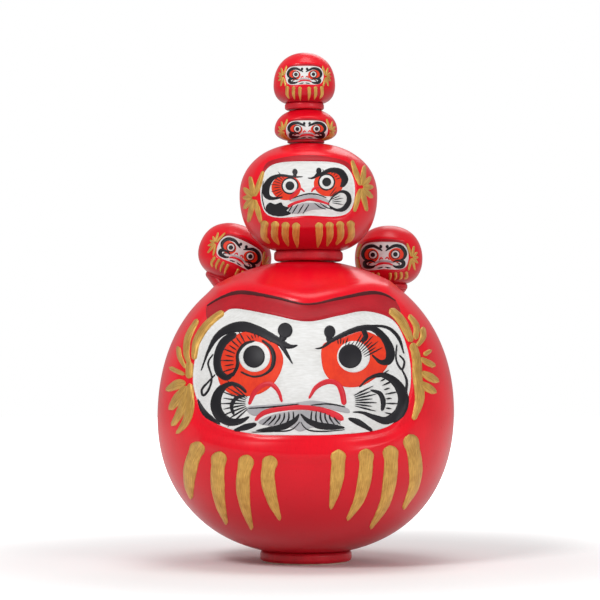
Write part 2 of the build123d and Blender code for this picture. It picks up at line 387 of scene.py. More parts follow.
class PaintTree:
    """A Geometry Nodes tree that lays drawn lines on a shell as low ridges of paint.

    The drawing lies flat, x across and y up, with each point's half width in "reach".  It is
    thrown on the shell from the eye point, as a lamp throws a stencil.
    """

    SOCKETS = (("Drawing", "NodeSocketGeometry"), ("Skin", "NodeSocketObject"),
               ("Thickness", "NodeSocketFloat"), ("Spacing", "NodeSocketFloat"),
               ("Ragged edge", "NodeSocketFloat"), ("Seed", "NodeSocketInt"),
               ("Eye", "NodeSocketVector"), ("Finish", "NodeSocketMaterial"))
    SECTION_POINTS = 12       # points round a brush stroke
    END_FULLNESS = 1.02       # just over 1, so that a stroke's tip keeps a little width
    EDGE_WAVES = 600.0        # waves of a ragged edge in a metre, about 1.7 mm each
    RUN_UP = 0.3              # how far in front of the drawing each ray starts, in metres
    REACH = 1.0               # how far it looks for the shell
    SUNK_SHARE = 0.1          # part of the paint's thickness that lies inside the shell

    def __init__(self, tool: PaintTool) -> None:
        """Build the tree.

        Args:
            tool: whether the lines are brush strokes or the edges of filled patches.
        """
        self.tool = tool
        self.tree = bpy.data.node_groups.new(tool.value, "GeometryNodeTree")
        self.ids: dict[str, str] = {}
        for name, kind in self.SOCKETS:
            item = self.tree.interface.new_socket(name, in_out="INPUT", socket_type=kind)
            self.ids[name] = item.identifier
        self.tree.interface.new_socket("Paint", in_out="OUTPUT", socket_type="NodeSocketGeometry")
        self.given = add_node(self.tree, "NodeGroupInput").outputs
        flat = self.swept() if tool is PaintTool.BRUSH else self.slab()
        self.lay(flat)

    def math(self, operation: str, *values: object) -> bpy.types.NodeSocket:
        """Add one step of arithmetic and return its result."""
        return add_node(self.tree, "ShaderNodeMath", dict(enumerate(values)),
                        operation=operation).outputs[0]

    def vector(self, operation: str, first: object, second: object = None
               ) -> bpy.types.NodeSocket:
        """Add one step of vector arithmetic and return its result."""
        inputs = {0: first}
        if second is not None:
            inputs["Scale" if operation == "SCALE" else 1] = second
        return add_node(self.tree, "ShaderNodeVectorMath", inputs, operation=operation).outputs[0]

    def combined(self, x: object = 0.0, y: object = 0.0, z: object = 0.0
                 ) -> bpy.types.NodeSocket:
        """Join three values into a vector."""
        return add_node(self.tree, "ShaderNodeCombineXYZ", {0: x, 1: y, 2: z}).outputs[0]

    def place(self, axis: int) -> bpy.types.NodeSocket:
        """Read one coordinate of every point."""
        position = add_node(self.tree, "GeometryNodeInputPosition").outputs[0]
        return add_node(self.tree, "ShaderNodeSeparateXYZ", {0: position}).outputs[axis]

    def store(self, geometry: bpy.types.NodeSocket, name: str, value: bpy.types.NodeSocket,
              kind: str = "FLOAT") -> bpy.types.NodeSocket:
        """Keep a value on every point under a name, and return the geometry."""
        return add_node(self.tree, "GeometryNodeStoreNamedAttribute",
                        {"Geometry": geometry, "Name": name, "Value": value},
                        data_type=kind, domain="POINT").outputs[0]

    def named(self, name: str) -> bpy.types.NodeSocket:
        """Read a value that was kept under a name."""
        return add_node(self.tree, "GeometryNodeInputNamedAttribute", {"Name": name},
                        data_type="FLOAT").outputs[0]

    def step(self, kind: str, geometry: bpy.types.NodeSocket, inputs: dict | None = None,
             **settings: object) -> bpy.types.NodeSocket:
        """Pass a geometry through one node and return what comes out."""
        return add_node(self.tree, kind, {0: geometry, **(inputs or {})}, **settings).outputs[0]

    def swept(self) -> bpy.types.NodeSocket:
        """Sweep a lens-shaped section along the strokes, with round ends.

        Returns:
            Flat ridges with "across", "rise" and "bristle" on their points.
        """
        curve = self.step("GeometryNodeMeshToCurve", self.given["Drawing"])
        curve = self.step("GeometryNodeCurveSplineType", curve, spline_type="CATMULL_ROM")
        curve = self.step("GeometryNodeSetCurveNormal", curve, mode="Z_UP")
        curve = self.step("GeometryNodeResampleCurve", curve, {"Length": self.given["Spacing"]},
                          mode="LENGTH")
        along = add_node(self.tree, "GeometryNodeSplineParameter").outputs["Length"]
        total = add_node(self.tree, "GeometryNodeSplineLength").outputs[0]
        to_end = self.math("MINIMUM", along, self.math("SUBTRACT", total, along))
        reach = self.named("reach")
        near = self.math("MINIMUM", self.math("DIVIDE", to_end, reach), 1.0)
        short = self.math("SUBTRACT", 1.0, near)
        tip = self.math("SQRT", self.math("SUBTRACT", self.END_FULLNESS,
                                          self.math("MULTIPLY", short, short)))
        curve = self.store(curve, "reach", self.math("MULTIPLY", reach, tip))
        curve = self.store(curve, "along", along)
        ring = add_node(self.tree, "GeometryNodeCurvePrimitiveCircle",
                        {"Resolution": self.SECTION_POINTS, "Radius": 1.0}).outputs[0]
        ring = self.store(ring, "across", self.place(0))
        ring = self.store(ring, "rise", self.place(1))
        mesh = self.step("GeometryNodeCurveToMesh", curve,
                         {"Profile Curve": ring, "Scale": self.named("reach"), "Fill Caps": True})
        across = self.math("MULTIPLY", self.named("across"), self.named("reach"))
        return self.store(mesh, "bristle", self.combined(across, self.named("along")),
                          "FLOAT_VECTOR")

    def slab(self) -> bpy.types.NodeSocket:
        """Give the drawing's faces an underside.

        Returns:
            Flat closed slabs with "rise" on their points.
        """
        top = self.step("GeometryNodeExtrudeMesh", self.given["Drawing"],
                        {"Offset": (0.0, 0.0, 1.0), "Offset Scale": 1.0, "Individual": False},
                        mode="FACES")
        under = self.step("GeometryNodeFlipFaces", self.given["Drawing"])
        both = add_node(self.tree, "GeometryNodeJoinGeometry", {0: top})
        self.tree.links.new(under, both.inputs[0])
        whole = self.step("GeometryNodeMergeByDistance", both.outputs[0], {"Distance": SAME_POINT})
        return self.store(whole, "rise", self.place(2))

    def lay(self, flat: bpy.types.NodeSocket) -> None:
        """Roughen the edges, drop the flat paint on the shell and finish the tree.

        Args:
            flat: the flat ridges or slabs.
        """
        seeded = self.combined(self.place(0), self.given["Seed"], self.place(1))
        noise = add_node(self.tree, "ShaderNodeTexNoise",
                         {"Vector": seeded, "Scale": self.EDGE_WAVES, "Detail": 3.0})
        centred = self.vector("SUBTRACT", noise.outputs["Color"], (0.5, 0.5, 0.5))
        ragged = self.vector("SCALE", centred, self.given["Ragged edge"])
        drawn = self.vector("ADD", self.combined(self.place(0), 0.0, self.place(1)), ragged)
        way = self.vector("NORMALIZE", self.vector("SUBTRACT", drawn, self.given["Eye"]))
        start = self.vector("ADD", drawn, self.vector("SCALE", way, -self.RUN_UP))
        skin = add_node(self.tree, "GeometryNodeObjectInfo", {"Object": self.given["Skin"]})
        ray = add_node(self.tree, "GeometryNodeRaycast",
                       {"Target Geometry": skin.outputs["Geometry"], "Source Position": start,
                        "Ray Direction": way, "Ray Length": self.REACH})
        lift = self.math("MULTIPLY", self.given["Thickness"],
                         self.math("SUBTRACT", self.named("rise"), self.SUNK_SHARE))
        landed = self.vector("ADD", ray.outputs["Hit Position"],
                             self.vector("SCALE", ray.outputs["Hit Normal"], lift))
        paint = self.store(flat, "missed", self.math("SUBTRACT", 1.0, ray.outputs["Is Hit"]))
        paint = self.step("GeometryNodeSetPosition", paint, {"Position": landed})
        paint = self.step("GeometryNodeDeleteGeometry", paint, {"Selection": self.named("missed")},
                          domain="POINT")
        paint = self.step("GeometryNodeSetShadeSmooth", paint)
        paint = self.step("GeometryNodeRealizeInstances", paint)
        paint = self.step("GeometryNodeSetMaterial", paint, {"Material": self.given["Finish"]})
        add_node(self.tree, "NodeGroupOutput", {0: paint})

    def drawing(self, name: str, lines: list[Stroke], spacing: float) -> bpy.types.Object:
        """Draw the flat lines, or the evenly divided faces inside them.

        Args:
            name: the drawing's name.
            lines: the strokes or outlines, in millimetres.
            spacing: size of the divisions inside an outline, in mm.

        Returns:
            The flat drawing.
        """
        points, edges, faces, reach = [], [], [], []
        for line in lines:
            first = len(points)
            if self.tool is PaintTool.FILL:
                spots, triangles = divided(line, spacing)
                points += [(x * MM, z * MM, 0.0) for x, z in spots]
                faces += [tuple(first + i for i in triangle) for triangle in triangles]
            else:
                points += [(x * MM, z * MM, 0.0) for x, z, _ in line]
                edges += [(i, i + 1) for i in range(first, len(points) - 1)]
                reach += [half * MM for _, _, half in line]
        mesh = bpy.data.meshes.new(name)
        mesh.from_pydata(points, edges, faces)
        if reach:
            mesh.attributes.new("reach", "FLOAT", "POINT").data.foreach_set("value", reach)
        return add_object(name, mesh)

    def paint(self, name: str, lines: list[Stroke], skin: bpy.types.Object, eye: Vector,
              material: bpy.types.Material, thickness: float, spacing: float,
              ragged: float, seed: int) -> bpy.types.Object:
        """Lay one colour's lines on a shell.

        Args:
            name: the new piece's name.
            lines: the strokes or outlines, in millimetres.
            skin: the upright shell to paint on.
            eye: the point that the drawing is thrown from, in the shell's own space.
            material: the paint.
            thickness: how far the paint stands proud, in mm.
            spacing: distance between sections along a line, in mm.
            ragged: how far the edges wander, in mm.
            seed: changes where they wander.

        Returns:
            The paint as a plain mesh, still upright.
        """
        holder = self.drawing(name + "_drawing", lines, spacing)
        modifier = holder.modifiers.new("paint", "NODES")
        modifier.node_group = self.tree
        for key, value in {"Skin": skin, "Thickness": thickness * MM, "Spacing": spacing * MM,
                           "Ragged edge": ragged * MM, "Seed": seed, "Eye": eye,
                           "Finish": material}.items():
            modifier[self.ids[key]] = value
        mesh = plain_mesh(holder)
        bpy.data.objects.remove(holder)
        mesh.name = name
        work = bmesh.new()
        work.from_mesh(mesh)
        bmesh.ops.holes_fill(work, edges=[side for side in work.edges if side.is_boundary])
        bmesh.ops.recalc_face_normals(work, faces=work.faces)
        work.to_mesh(mesh)
        work.free()
        return add_object(name, mesh)


# ---- what is painted on each doll ---------------------------------------------------------
@dataclass(frozen=True)
class Layer:
    """One colour of one doll: its lines, how they are laid and how proud they stand."""

    name: str
    finish: Finish
    tool: PaintTool
    lines: list[Stroke]
    thickness: float


def disc(x: float, z: float, across: float, up: float, points: int = 14) -> Stroke:
    """Outline of an upright ellipse, for a filled patch."""
    turns = (2 * math.pi * i / points for i in range(points))
    return tuple((x + across * math.cos(t), z + up * math.sin(t), 0.0) for t in turns)


def edge(points: tuple[Point, ...]) -> Stroke:
    """Outline through given points, for a filled patch."""
    return tuple((x, z, 0.0) for x, z in points)


def fan(centre: Point, start: float, end: float, near: float, far: float, count: int,
        half: float) -> list[Stroke]:
    """Thin strokes that spread from a centre, thick in the middle.

    Args:
        centre: where they would meet.
        start: direction of the first, in degrees from +X.
        end: direction of the last.
        near: distance of their inner ends.
        far: distance of their outer ends.
        count: how many there are.
        half: their half width.

    Returns:
        The strokes.
    """
    lines = []
    shorter = 0.12        # every second one is this share shorter
    root, tip = 0.4, 0.3  # width of its ends over its middle
    for i in range(count):
        turn = math.radians(start + (end - start) * i / max(count - 1, 1))
        c, s = math.cos(turn), math.sin(turn)
        reach = far * (1 - shorter * (i % 2))
        stops = ((near, root * half), ((near + reach) / 2, half), (reach, tip * half))
        lines.append(tuple((centre[0] + r * c, centre[1] + r * s, w) for r, w in stops))
    return lines


def rib(spine: tuple[Point, ...], half: float) -> Stroke:
    """One gold rib: a round drop for a head, then a band that narrows to a point."""
    run = rounded(spine, False, 5)
    stops = ((0, 0.9), (0.08, 1.1), (0.2, 0.9), (0.45, 0.92), (0.75, 0.62), (1, 0.2))
    widths = np.interp(np.linspace(0, 1, len(run)), *zip(*stops))
    return tuple((float(x), float(z), half * float(w)) for (x, z), w in zip(run, widths))


@dataclass(frozen=True)
class Relief:
    """The moulded relief of one doll's front, in mm in its own frame."""

    face: tuple[Point, ...]
    hood: tuple[Point, ...]
    brow: tuple[Point, ...]
    lip: tuple[Point, ...]
    swellings: tuple[tuple[float, float, float, float], ...]   # x, height, spread and rise
    face_depth: float
    hood_depth: float
    brow_rise: float
    lip_rise: float
    step: float           # width over which the face sinks in

    def rise(self, x: np.ndarray, z: np.ndarray) -> np.ndarray:
        """Height of the relief above the plain body.

        Args:
            x: positions across, in mm.
            z: heights, in mm.

        Returns:
            How far each point stands out, in mm.
        """
        out = np.zeros_like(x)
        hood_width, brow_width, lip_width = 2.2 * self.step, 2.4 * self.step, 2.0 * self.step
        for line, depth, width in ((self.hood, self.hood_depth, hood_width),
                                   (self.face, self.face_depth, self.step)):
            inside = distance_to(rounded(line, True), x, z, True)
            out -= depth * smooth(0.5 + inside / width)
        for line, rise, width in ((self.brow, self.brow_rise, brow_width),
                                  (self.lip, self.lip_rise, lip_width)):
            away = distance_to(rounded(line, False), x, z, False)
            out += rise * np.exp(-(away / width) ** 2)
        for cx, cz, spread, rise in self.swellings:
            out += rise * np.exp(-((x - cx) ** 2 + (z - cz) ** 2) / spread ** 2)
        return out


class LargePainting:
    """The biggest doll's face, brows, whiskers and gilding, drawn one by one."""

    FACE = ((-48, 147), (-41, 149.3), (-21.5, 146), (0.5, 141.8), (20, 145.3), (35, 147.8),
            (50, 143.5), (57.5, 133), (61.8, 116), (61, 99), (54, 84), (42, 77.5), (17, 74.8),
            (-10, 74.5), (-28, 75), (-46, 78.5), (-59, 86), (-66, 101), (-66.3, 115),
            (-62.8, 128), (-56, 139))
    BROW = ((-58.5, 151), (-50, 156), (-38, 159), (-18.5, 156), (0.5, 152), (20, 155.5),
            (38, 158.8), (47, 157.5), (53, 154))

    def relief(self) -> Relief:
        """Moulded relief: a hood over a hollow, the sunk face, the nose and the collar."""
        hood = self.BROW + ((60, 146), (68, 133), (71, 116), (69, 96), (59, 79), (42, 71.5),
                            (0, 70), (-44, 72), (-64, 81), (-73, 100), (-74, 118), (-69, 136))
        above = 3.5   # from the brow line up to the ridge over it
        ridge = tuple((x, z + above) for x, z in self.BROW[1:-1])
        collar = ((-60, 71), (-45, 66.5), (-20, 63.5), (0, 62.5), (22, 63.5), (44, 68), (58, 75))
        middle_x, middle_z, wider, taller = -2.0, 111.5, 1.025, 1.03
        sunk = tuple((middle_x + wider * (x - middle_x), middle_z + taller * (z - middle_z))
                     for x, z in self.FACE)
        nose, cheeks = (-5, 98, 13, 2.6), ((-30, 120.5, 12, 1.6), (27, 120, 12.5, 1.6))
        return Relief(sunk, hood, ridge, collar, (nose, *cheeks), face_depth=1.7, hood_depth=1.0,
                      brow_rise=2.0, lip_rise=1.9, step=2.0)

    def layers(self) -> list[Layer]:
        """Every colour of the doll, from the ground up."""
        # Painted shade: a darker band between the brow line and the face, where the hood's shadow
        # falls.
        shadow = self.BROW + ((56, 146), (51, 141), (35, 144), (20, 141.5), (0.5, 138),
                              (-21.5, 141.5), (-40, 144.5), (-48, 142), (-57, 140))
        weights = (0.4, 0.8, 1.3, 0.9, 0.6, 0.9, 1.2, 0.8, 0.3)
        return [
            Layer("brow_shadow", PAINTED_SHADE_LACQUER, PaintTool.FILL, [edge(shadow)], 0.12),
            Layer("face_white", SHELL_WHITE, PaintTool.FILL, [edge(self.FACE)], 0.34),
            # A dark line in the brow fold: part drawn line, part painted shade under the hood's
            # fold.
            Layer("brow_line", UMBER_FOLD_SHADE_LINE, PaintTool.BRUSH,
                  [tuple((x, z, half) for (x, z), half in zip(self.BROW, weights))], 0.5),
            Layer("orange_patches", ORANGE_PIGMENT, PaintTool.FILL, self.orange(), 0.46),
            Layer("eye_whites", SHELL_WHITE, PaintTool.FILL,
                  [disc(-30.2, 120.8, 9.1, 8.9), disc(28, 120.8, 9.6, 9.2)], 0.58),
            Layer("grey_lip", GREY_PIGMENT, PaintTool.FILL, self.grey(), 0.44),
            Layer("ink", SUMI_INK, PaintTool.BRUSH, self.ink(), 0.8),
            Layer("pupils", SUMI_INK, PaintTool.FILL,
                  [disc(-30.5, 120.8, 6.3, 6.5), disc(26, 121, 6.8, 7.0),
                   disc(-12.2, 136.3, 4.3, 4.4), disc(14, 135.4, 3.3, 3.7)], 0.78),
            Layer("scarlet", RED_PIGMENT, PaintTool.BRUSH, self.scarlet(), 0.92),
            Layer("gilding", BRASS_PAINT, PaintTool.BRUSH, self.gold(), 0.9),
        ]

    def orange(self) -> list[Stroke]:
        """Orange ground round both eyes."""
        left = ((-38, 135), (-26, 134.5), (-18, 129), (-13.6, 121), (-14.5, 113), (-19, 105),
                (-26, 99.5), (-35, 97.5), (-43, 98.5), (-48, 101.5), (-51.5, 107), (-52, 118),
                (-47.5, 128))
        right = ((10.2, 128), (19.8, 131.2), (32.3, 135.7), (41.3, 133.4), (47, 127.5),
                 (48.5, 119), (47, 113.5), (41.3, 108.5), (32.3, 103.5), (22.1, 103.3),
                 (13, 108.5), (9.4, 117))
        return [edge(left), edge(right)]

    def grey(self) -> list[Stroke]:
        """Grey upper lip, and the grey that shades the chin."""
        lip = ((-34.5, 91), (-19.8, 92.7), (-6.2, 93.8), (4, 95), (15.3, 93.2), (24.4, 90.4),
               (25.3, 87.6), (18.7, 88.6), (9.6, 91), (-4, 91.5), (-18.7, 89.3), (-30.5, 86))
        chin = ((-28, 82), (-20, 86.5), (-8, 89), (2, 89), (12, 87), (20.5, 82.5), (15, 79.5),
                (4, 79), (-3.5, 76.8), (-9, 79), (-20, 79.8))
        return [edge(lip), edge(chin)]

    def ink(self) -> list[Stroke]:
        """Brows, eye rims, curls, whiskers and beard."""
        left = [
            ((-61.7, 112.5, 0.4), (-58, 123, 1.0), (-53, 132, 2.0), (-46, 137, 2.9),
             (-37.5, 138.5, 3.7), (-29, 136.3, 3.4), (-20.5, 132, 3.1), (-14.5, 128.8, 2.5),
             (-9.5, 126.8, 1.6), (-4.8, 127.6, 0.5)),
            ((-16, 130, 1.8), (-12.5, 124.5, 1.4), (-7.8, 116.5, 0.4)),
            ((-12.6, 134.5, 3.0), (-13.6, 132, 2.6), (-15, 129.5, 1.6)),
            ((-41, 134.5, 2.6), (-48.5, 129, 3.1), (-52, 120, 2.9), (-51, 112, 2.9),
             (-46.6, 108.6, 2.5), (-42.3, 111.5, 0.9)),
            ((-30, 130, 0.8), (-36, 128, 1.5), (-40, 122.5, 1.4), (-40.3, 115.5, 1.4),
             (-43.6, 109, 1.2)),
            ((-26, 130.6, 0.8), (-20.7, 126, 1.5), (-18.9, 120, 1.8), (-20.3, 114, 1.4),
             (-25, 110.2, 0.9), (-31.5, 109.2, 0.8), (-38.5, 112, 0.8)),
            ((-54.5, 122.5, 0.5), (-57.6, 117, 0.7), (-55.5, 108.5, 0.7), (-57.3, 101.5, 0.8),
             (-60.5, 98, 0.9), (-61.3, 101.5, 0.8), (-57.5, 106, 0.7), (-53.3, 110.5, 0.4)),
            ((-35, 99.5, 1.1), (-38.8, 103.3, 1.5), (-44.5, 104.8, 1.8), (-50.5, 101, 2.8),
             (-53.2, 93.5, 3.6), (-51, 86.5, 3.6), (-45, 82.5, 2.8), (-38.5, 82.8, 1.9),
             (-33.3, 85.5, 0.6)),
            ((-35.5, 98, 0.8), (-41, 96.5, 1.3), (-43.8, 92, 1.3), (-42.5, 86.5, 0.9)),
            ((-64, 96, 0.5), (-59.5, 87.5, 1.9), (-50.5, 81, 0.8)),
            ((-42.5, 77.2, 0.7), (-35.5, 79.3, 2.2), (-29, 81.2, 1.2)),
        ]
        right = [
            ((5.4, 125.6, 0.3), (9.5, 126.2, 0.8), (15, 130, 1.4), (22.5, 134, 1.7),
             (31, 137.3, 1.9), (39, 137.6, 2.1), (45.5, 132.5, 2.6), (49.3, 125, 3.3),
             (48.7, 118.8, 3.0), (44, 117.6, 1.7), (38.8, 122, 0.6)),
            ((14, 134, 2.6), (13.8, 131.8, 2.2), (12.6, 129.4, 1.1)),
            ((38, 139.2, 0.6), (48, 138, 1.1), (54.6, 132, 1.2), (57.8, 122.5, 0.4)),
            ((33.4, 137.2, 1.7), (35.3, 132.5, 2.0), (33, 129.5, 1.0)),
            ((53.6, 128, 0.5), (53.2, 119, 0.7), (56.5, 113.3, 0.8), (58, 118, 0.7),
             (55, 121.8, 0.6)),
            ((56.5, 113.5, 0.6), (59.5, 106, 0.9), (58, 96, 1.0)),
            ((31.3, 102.8, 0.6), (37.5, 108.3, 1.2), (45.5, 110, 1.9), (53.5, 105, 2.9),
             (57.4, 96.5, 3.7), (55, 87.8, 3.6), (47.5, 83.2, 2.7), (40.5, 85, 1.9),
             (33.5, 87.8, 1.0), (27.5, 88.2, 0.4)),
            ((37.8, 101.2, 0.6), (43.5, 99.2, 1.5), (45.6, 94, 1.8), (44.8, 88.8, 1.0)),
            ((24.9, 84.5, 0.8), (31.2, 82, 2.1), (39.3, 77, 0.9)),
        ]
        mouth = [
            ((-4, 87.3, 0.5), (-6.5, 83.4, 1.8), (-12.5, 80, 2.3), (-20.5, 78.4, 1.6),
             (-29.5, 77.3, 0.4)),
            ((-3.3, 87.3, 0.5), (1, 83.2, 1.8), (7.5, 80.4, 2.4), (15.5, 79.5, 2.1),
             (23, 79, 0.5)),
            ((-34, 90.3, 0.4), (-19.8, 91.3, 0.6), (-4, 93, 0.4)),
            ((2.8, 92.2, 0.4), (13, 93, 0.6), (23.2, 91.2, 0.4)),
            ((-32, 76.3, 0.3), (-20, 76.8, 0.5), (-9, 77.6, 0.5), (-3.5, 82.5, 0.3)),
            ((-3.2, 82.5, 0.3), (1, 77.8, 0.5), (10, 76.8, 0.5), (23, 77.8, 0.3)),
        ]
        hairs = [((x, 89.2 - 0.008 * x * x, 0.4), (1.08 * x - side * 0.8, 84.5, 0.7),
                  (1.3 * x - side, 80.5, 0.3)) for side in (-1, 1) for x in (
                      side * (5.5 + 2.6 * k) - 2 for k in range(6))]
        return (left + right + mouth + hairs
                + fan((-30.5, 93.5), 140, 222, 5.0, 21.0, 9, 0.62)
                + fan((20, 94), -14, 26, 9.0, 22.0, 7, 0.62)
                + fan((20, 93.5), -12, 34, 27.0, 35.0, 9, 0.62)
                + fan((-30, 118), 118, 208, 12.5, 20.5, 10, 0.6)
                + fan((-27, 124), 42, 130, 8.0, 12.5, 9, 0.5)
                + fan((22, 114), 28, 62, 14.0, 26.0, 8, 0.6)
                + fan((20, 119), 52, 96, 9.0, 14.0, 6, 0.5))

    def scarlet(self) -> list[Stroke]:
        """Nostrils and the turned-down mouth."""
        return [
            ((-33.5, 92.5, 1.0), (-30.5, 99.5, 1.7), (-25.5, 104, 1.7), (-20.3, 104.5, 1.6),
             (-16.3, 100.5, 1.3), (-14, 94, 0.8)),
            ((1.7, 96, 0.7), (6, 102.8, 1.5), (13, 106.2, 1.8), (18.6, 104.8, 1.7),
             (21.3, 100, 2.0), (22.6, 92.3, 1.7)),
            ((-30, 83.2, 1.1), (-24.3, 88, 1.7), (-13, 90.4, 1.7), (-1.7, 91, 1.7),
             (9.6, 89.4, 1.8), (18, 86, 2.3), (22.2, 83.6, 1.4)),
        ]

    def gold(self) -> list[Stroke]:
        """Ribs below the collar and the plumes beside the face."""
        ribs = (((-62.5, 70.5), (-67.6, 58), (-69, 46), (-67.6, 37)),
                ((-51, 65), (-52.3, 50), (-50.8, 35), (-46.8, 22)),
                ((-34.5, 63), (-37.2, 48), (-36, 33), (-31.8, 19)),
                ((-20.4, 62.5), (-22.6, 50), (-19.8, 36), (-15.2, 24.5)),
                ((19.2, 66), (18.9, 54), (17.2, 42), (14.6, 31)),
                ((35.5, 66.5), (35.3, 53), (31.6, 37), (24.4, 24.5)),
                ((49.8, 68.5), (50.2, 54), (46.8, 35), (38, 19.5)),
                ((61, 75), (64.5, 60), (64, 45), (57.4, 31)))
        plumes = [
            ((-48.5, 147.5, 2.2), (-58, 140, 2.7), (-64.5, 130, 2.5), (-66, 119, 1.8)),
            ((-64, 143, 1.5), (-69.5, 133, 2.1), (-70.7, 123, 1.9), (-68.5, 116, 1.2)),
            ((-75.5, 127, 1.3), (-74.5, 120.5, 1.5), (-71, 114, 1.0)),
            ((-80.5, 114.5, 1.3), (-75.5, 112, 1.4), (-71.5, 110.3, 1.0)),
            ((-68.8, 118, 2.4), (-69, 108, 2.4)),
            ((-71, 105.5, 1.6), (-76, 104.5, 3.0), (-82.5, 101, 1.4)),
            ((-70.5, 103.5, 1.8), (-75.5, 96.5, 3.2), (-80.5, 89.5, 1.6)),
            ((-70, 103, 1.8), (-73.2, 90.5, 2.8), (-79, 80, 1.4)),
            ((-68.5, 105, 1.8), (-68.5, 92, 2.6), (-71, 82.5, 2.4), (-76.3, 75.5, 1.0)),
            ((49.5, 149, 2.4), (55.5, 143.5, 2.8), (59.5, 136.5, 2.6), (62.5, 129.5, 1.7)),
            ((60.8, 145.5, 1.3), (65.3, 139, 2.0), (64.8, 131, 1.6)),
            ((68.8, 138.5, 1.7), (69.3, 132.5, 1.9), (65.5, 127, 1.2)),
            ((74, 124.8, 1.2), (69.5, 121.8, 1.6)),
            ((76.3, 115.3, 1.6), (72, 117.5, 1.9), (67.5, 120, 1.2)),
            ((78.3, 106, 1.5), (73.5, 108.8, 2.6), (68, 111.8, 1.5)),
            ((76.8, 99.5, 1.5), (72.3, 102.5, 2.6), (67.5, 105.5, 1.5)),
            ((62.8, 129, 2.2), (65.5, 119.5, 2.8), (66, 109, 3.0), (67.3, 96, 2.9),
             (63.5, 83.5, 1.4)),
        ]
        return [rib(each, 4.6) for each in ribs] + plumes


@dataclass(frozen=True)
class SmallPainting:
    """A smaller doll's painting, laid out by the half width and half height of its face."""

    x: float              # middle of the face, in mm in the doll's own frame
    z: float
    across: float         # half width
    up: float             # half height
    ribs: int             # gold ribs on each side
    rib_foot: float       # height of the ribs' tips

    EYES = ((-0.45, 0.1), (0.46, 0.12))
    BALL = 0.155          # radius of the white of an eye, over the half width
    ORANGE = (0.32, 0.5)  # half width and half height of the orange round it
    HUBS = {-1.0: -0.1, 1.0: -0.1}   # height of the left and right plume's hub
    RIB = 0.29            # half width of all ribs of one side together
    # direction, in degrees from outwards, and length of each stroke of a plume
    PLUME = ((112, 0.55), (78, 0.42), (40, 0.3), (0, 0.27), (-40, 0.33), (-75, 0.48),
             (-108, 0.5))

    def at(self, *points: tuple[float, float, float], side: float = 1.0) -> Stroke:
        """Turn shares of the face into millimetres, mirrored when side is -1."""
        return tuple((self.x + side * u * self.across, self.z + v * self.up, w * self.across)
                     for u, v, w in points)

    def spots(self, *points: Point) -> tuple[Point, ...]:
        """Turn shares of the face into places in millimetres."""
        return tuple((self.x + u * self.across, self.z + v * self.up) for u, v in points)

    def outline(self, spread: float = 1.0, lift: float = 0.0) -> tuple[Point, ...]:
        """Rounded outline of the face.

        Args:
            spread: how much wider and taller than the face it is drawn.
            lift: how much higher, in mm.

        Returns:
            The outline's points.
        """
        shares = ((-1, -0.1), (-0.93, 0.55), (-0.66, 0.92), (0, 1), (0.66, 0.92), (0.93, 0.55),
                  (1, -0.1), (0.9, -0.72), (0.6, -0.93), (0, -0.9), (-0.6, -0.97),
                  (-0.9, -0.78))
        return tuple((self.x + u * self.across * spread, self.z + v * self.up * spread + lift)
                     for u, v in shares)

    def relief(self) -> Relief:
        """Moulded relief, with the same steps as the biggest doll's."""
        brow = self.spots((-0.8, 1.12), (0, 1.36), (0.8, 1.12))
        lip = self.spots((-0.85, -1.18), (-0.3, -1.3), (0.3, -1.26), (0.85, -1.1))
        scale = self.across / REFERENCE_FACE
        sunk, ridge = 2.6 * scale, 1.2 * scale   # depth of the face, and rise of brow and collar
        nose = (self.x, self.z - 0.35 * self.up, 0.2 * self.across, 2.2 * scale)
        return Relief(self.outline(1.03), self.outline(1.14, 0.04 * self.up), brow, lip, (nose,),
                      face_depth=sunk, hood_depth=ridge, brow_rise=ridge, lip_rise=ridge,
                      step=2.4 * scale)

    def ink(self) -> list[Stroke]:
        """Brows, eye rims and whiskers, the same on both sides."""
        brow = ((0.06, 0.36, 0.02), (0.2, 0.52, 0.05), (0.45, 0.72, 0.075), (0.72, 0.6, 0.085),
                (0.86, 0.2, 0.085), (0.8, -0.15, 0.06), (0.66, -0.25, 0.02))
        whisker = ((0.36, -0.42, 0.03), (0.56, -0.3, 0.05), (0.78, -0.42, 0.085),
                   (0.74, -0.7, 0.09), (0.5, -0.75, 0.06), (0.34, -0.62, 0.02))
        lines = [self.at(*line, side=s) for s in (-1.0, 1.0) for line in (
            brow, whisker,
            ((0.5, -0.45, 0.015), (0.62, -0.52, 0.03), (0.6, -0.64, 0.015)),
            ((0.04, -0.74, 0.015), (0.16, -0.8, 0.03), (0.28, -0.82, 0.01)))]
        return lines + self.rims()

    def rims(self, reach: float = 1.12) -> list[Stroke]:
        """Dark line round both eyes."""
        ball = self.BALL * self.across
        half = 0.13 * ball
        turns = [math.radians(24 * i) for i in range(-3, 13)]   # once round, from low on one side
        return [tuple((x + reach * ball * math.cos(a), z + reach * ball * math.sin(a), half)
                      for a in turns) for x, z in self.spots(*self.EYES)]

    def scarlet(self) -> list[Stroke]:
        """Nostrils and the turned-down mouth."""
        return [self.at(*line) for line in (
            ((-0.34, -0.66, 0.03), (-0.18, -0.52, 0.05), (0, -0.48, 0.045),
             (0.2, -0.52, 0.05), (0.36, -0.64, 0.03)),
            ((-0.2, -0.3, 0.02), (-0.12, -0.1, 0.035), (-0.04, -0.22, 0.02)),
            ((0.05, -0.22, 0.02), (0.13, -0.08, 0.035), (0.22, -0.28, 0.02)))]

    def grey(self) -> list[Stroke]:
        """Upper lip."""
        return [edge(self.spots((-0.42, -0.46), (-0.2, -0.32), (0, -0.28), (0.22, -0.32),
                                (0.44, -0.44), (0.2, -0.46), (0, -0.44), (-0.2, -0.46)))]

    def patches(self) -> list[Stroke]:
        """Ink that is dabbed and not drawn: the round ends of the brows."""
        size = self.across
        return [disc(x, z, 0.062 * size, 0.07 * size, 8)
                for x, z in self.spots((-0.13, 0.66), (0.13, 0.66))]

